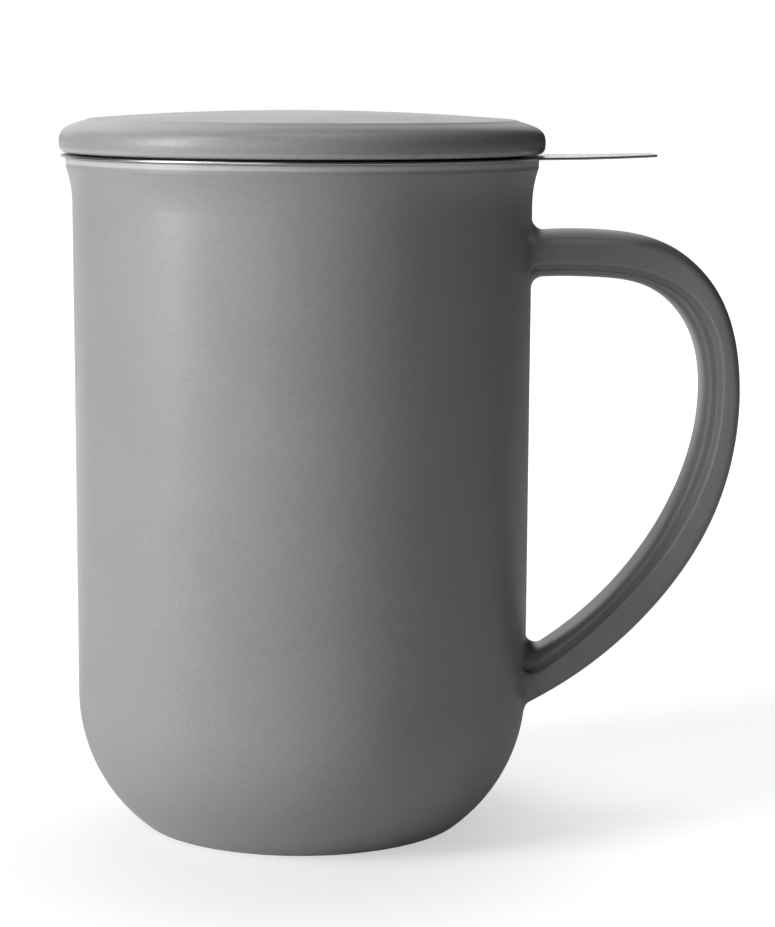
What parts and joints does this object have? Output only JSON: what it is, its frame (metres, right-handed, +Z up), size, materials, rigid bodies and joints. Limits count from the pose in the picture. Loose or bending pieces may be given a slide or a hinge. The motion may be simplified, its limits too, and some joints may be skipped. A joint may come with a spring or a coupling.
{
  "type": "tea mug with infuser and lid",
  "caption": "Tall straight-sided ceramic tea mug with a loop handle, a perforated steel infuser hung from its rim by a tabbed flange, and a lift-off ceramic lid.",
  "frame": {"origin": "centre of the foot ring, on the plane the mug stands on", "axes": "+Z up the mug's axis, +X towards the handle and the infuser's tab, +Y completes a right-handed frame; the part is symmetric about the XZ plane"},
  "size_m": [0.1268, 0.09, 0.1336],
  "materials": {
    "mug_glaze": "satin grey glaze, unglazed foot ring",
    "lid_glaze": "satin grey glaze",
    "infuser_steel": "satin stainless sheet",
    "seal_silicone": "matt black silicone"
  },
  "bodies": {
    "mug": {"mug_body": "mug_glaze", "mug_handle": "mug_glaze"},
    "infuser": {"infuser_rim": "infuser_steel", "infuser_sleeve": "infuser_steel", "infuser_base": "infuser_steel"},
    "lid": {"lid": "lid_glaze", "lid_seal": "seal_silicone"}
  },
  "joints": [
    {"name": "infuser_lift", "type": "slide", "parent": "mug", "child": "infuser", "axis": [0, 0, 1], "range_m": [0, 0.125]},
    {"name": "lid_lift", "type": "slide", "parent": "infuser", "child": "lid", "axis": [0, 0, 1], "range_m": [0, 0.06]}
  ]
}
